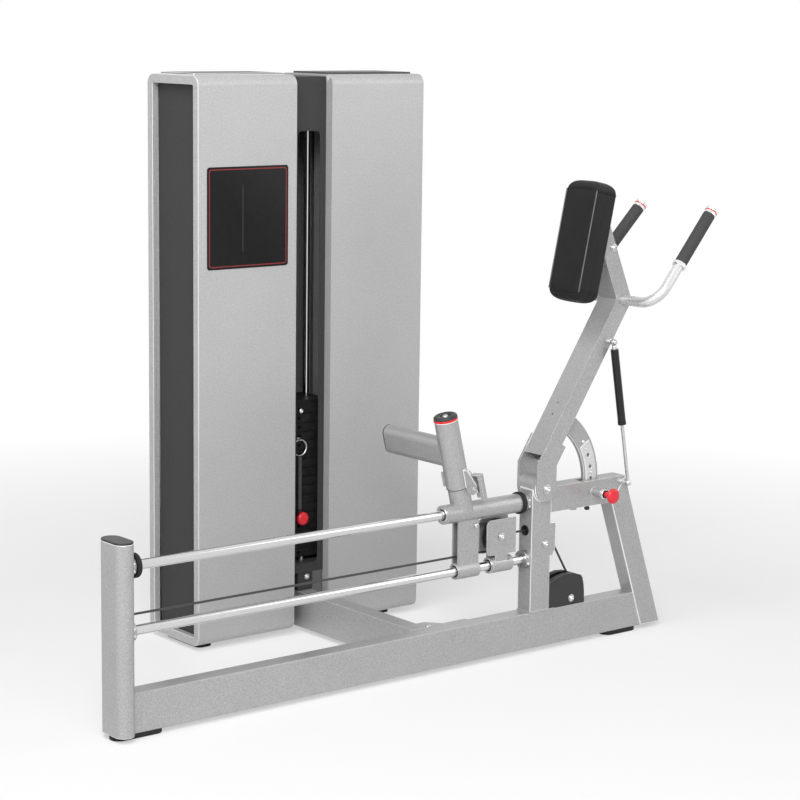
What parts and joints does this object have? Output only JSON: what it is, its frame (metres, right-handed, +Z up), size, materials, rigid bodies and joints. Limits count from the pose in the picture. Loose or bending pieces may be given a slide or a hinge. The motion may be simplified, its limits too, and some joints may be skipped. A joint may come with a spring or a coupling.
{
  "type": "glute machine",
  "caption": "Standing glute machine: a chest pad and handles on a tilting arm, a foot bar on a carriage that slides on two rods, and a weight stack in a shrouded tower.",
  "frame": {"origin": "on the floor under the axis of the front post", "axes": "+Z up; +X along the base beam from the front post to the rear leg; +Y from the beam to the weight tower"},
  "size_m": [1.8571, 0.9079, 1.5416],
  "materials": {
    "silver_paint": "fine metallic silver powder coat",
    "shroud_silver": "light silver powder coat",
    "charcoal": "matt charcoal powder coat",
    "black_plastic": "matt moulded black",
    "black_rubber": "matt",
    "chrome": "polished",
    "stack_black": "black paint",
    "red_plastic": "satin red",
    "black_vinyl": "grained upholstery vinyl",
    "grip_rubber": "matt dark grey",
    "cable_black": "smooth nylon jacket"
  },
  "bodies": {
    "frame": {"base_beam": "silver_paint", "front_post": "silver_paint", "post_cap": "black_plastic", "front_foot": "black_rubber", "rear_foot": "black_rubber", "upright": "silver_paint", "top_tube": "silver_paint", "rear_leg": "silver_paint", "cross_member": "silver_paint", "upper_rod": "chrome", "lower_rod": "chrome", "upper_rod_front_collar": "chrome", "upper_rod_rear_collar": "chrome", "lower_rod_front_collar": "chrome", "lower_rod_rear_collar": "chrome", "post_bumper": "black_rubber", "pulley_cover": "charcoal", "left_shroud": "shroud_silver", "right_shroud": "shroud_silver", "left_end_panel": "charcoal", "right_end_panel": "charcoal", "centre_cover": "charcoal", "tower_frame": "silver_paint", "tower_foot_left": "black_rubber", "tower_foot_right": "black_rubber", "guide_rod_left": "chrome", "guide_rod_right": "chrome", "stack_base": "charcoal", "stack_lower": "stack_black", "pivot_bolt": "chrome", "front_cable": "cable_black", "lift_cable": "cable_black"},
    "carriage": {"carriage_frame": "silver_paint", "upper_bearing": "black_plastic", "lower_bearing": "black_plastic", "carriage_bumper": "black_rubber"},
    "foot_bar": {"foot_bar_frame": "silver_paint", "swivel_cap": "black_plastic", "foot_bar_cap": "black_plastic"},
    "lever": {"release_lever": "silver_paint"},
    "trolley": {"trolley_frame": "silver_paint", "trolley_bearing": "black_plastic"},
    "trolley_pulley": {"trolley_pulley": "black_plastic"},
    "upright_pulley": {"upright_pulley": "black_plastic"},
    "base_pulley": {"base_pulley": "black_plastic"},
    "turn_pulley": {"turn_pulley": "black_plastic"},
    "stack_pulley": {"stack_pulley": "black_plastic"},
    "top_pulley": {"top_pulley": "black_plastic"},
    "stack": {"stack_lifted": "stack_black"},
    "selector": {"selector_pin": "red_plastic"},
    "arm": {"arm_frame": "silver_paint", "adjuster_quadrant": "silver_paint", "chest_pad": "black_vinyl", "handle_bar": "silver_paint", "grip_near": "grip_rubber", "grip_far": "grip_rubber"},
    "gas_cylinder": {"gas_cylinder": "stack_black"},
    "gas_rod": {"gas_rod": "chrome"},
    "pull_pin": {"pull_pin": "red_plastic"}
  },
  "joints": [
    {"name": "carriage_slide", "type": "slide", "parent": "frame", "child": "carriage", "axis": [-1, 0, 0], "range_m": [0, 0.8]},
    {"name": "foot_bar_swivel", "type": "hinge", "parent": "carriage", "child": "foot_bar", "pos_m": [1.0583, 0, 0.4148], "axis": [-0.2446, 0, 0.9696], "range_deg": [0, 180]},
    {"name": "release_lever_swing", "type": "hinge", "parent": "foot_bar", "child": "lever", "pos_m": [1.05747, -0.05326, 0.48885], "axis": [0.9222, 0.309, 0.2327], "range_deg": [0, 10], "stiffness_Nm_per_rad": 2, "springref_deg": -11.46},
    {"name": "trolley_slide", "type": "slide", "parent": "frame", "child": "trolley", "axis": [-1, 0, 0], "range_m": [0, 0.4], "deforming": ["front_cable"]},
    {"name": "trolley_pulley_spin", "type": "hinge", "parent": "trolley", "child": "trolley_pulley", "pos_m": [1.178, 0, 0.336], "axis": [0, 1, 0], "continuous": true},
    {"name": "upright_pulley_spin", "type": "hinge", "parent": "frame", "child": "upright_pulley", "pos_m": [1.33, 0, 0.297], "axis": [0, 1, 0], "continuous": true},
    {"name": "base_pulley_spin", "type": "hinge", "parent": "frame", "child": "base_pulley", "pos_m": [1.43, 0, 0.132], "axis": [0, 1, 0], "continuous": true},
    {"name": "turn_pulley_spin", "type": "hinge", "parent": "frame", "child": "turn_pulley", "pos_m": [0.9774, 0.039, 0.093], "axis": [0, 0, 1], "continuous": true},
    {"name": "stack_pulley_spin", "type": "hinge", "parent": "frame", "child": "stack_pulley", "pos_m": [0.9384, 0.661, 0.132], "axis": [1, 0, 0], "continuous": true},
    {"name": "top_pulley_spin", "type": "hinge", "parent": "frame", "child": "top_pulley", "pos_m": [0.9384, 0.661, 1.392], "axis": [1, 0, 0], "continuous": true},
    {"name": "stack_lift", "type": "slide", "parent": "frame", "child": "stack", "axis": [0, 0, 1], "range_m": [0, 0.4], "deforming": ["lift_cable"]},
    {"name": "selector_slide", "type": "slide", "parent": "stack", "child": "selector", "axis": [0, -1, 0], "range_m": [0, 0.06]},
    {"name": "arm_tilt", "type": "hinge", "parent": "frame", "child": "arm", "pos_m": [1.318, 0, 0.451], "axis": [0, 1, 0], "range_deg": [0, 20.2]},
    {"name": "gas_cylinder_swing", "type": "hinge", "parent": "arm", "child": "gas_cylinder", "pos_m": [1.53996, -0.052, 0.83203], "axis": [0, 1, 0], "range_deg": [-3, 1]},
    {"name": "gas_rod_slide", "type": "slide", "parent": "gas_cylinder", "child": "gas_rod", "axis": [-0.1743, 0, 0.9847], "range_m": [0, 0.12]},
    {"name": "pull_pin_slide", "type": "slide", "parent": "frame", "child": "pull_pin", "axis": [0, -1, 0], "range_m": [0, 0.015], "stiffness_N_per_m": 500, "springref_m": -0.01}
  ],
  "couplings": [
    {"joint": "trolley_slide", "follows": "carriage_slide", "ratio": 0.5},
    {"joint": "stack_lift", "follows": "carriage_slide", "ratio": 0.5},
    {"joint": "trolley_pulley_spin", "follows": "carriage_slide", "rad_per_m": -12.82},
    {"joint": "upright_pulley_spin", "follows": "carriage_slide", "rad_per_m": -12.82},
    {"joint": "base_pulley_spin", "follows": "carriage_slide", "rad_per_m": -12.82},
    {"joint": "turn_pulley_spin", "follows": "carriage_slide", "rad_per_m": 12.82},
    {"joint": "stack_pulley_spin", "follows": "carriage_slide", "rad_per_m": -12.82},
    {"joint": "top_pulley_spin", "follows": "carriage_slide", "rad_per_m": -12.82},
    {"joint": "gas_cylinder_swing", "follows": "arm_tilt", "ratio": -0.0815},
    {"joint": "gas_rod_slide", "follows": "arm_tilt", "m_per_rad": 0.2898}
  ]
}
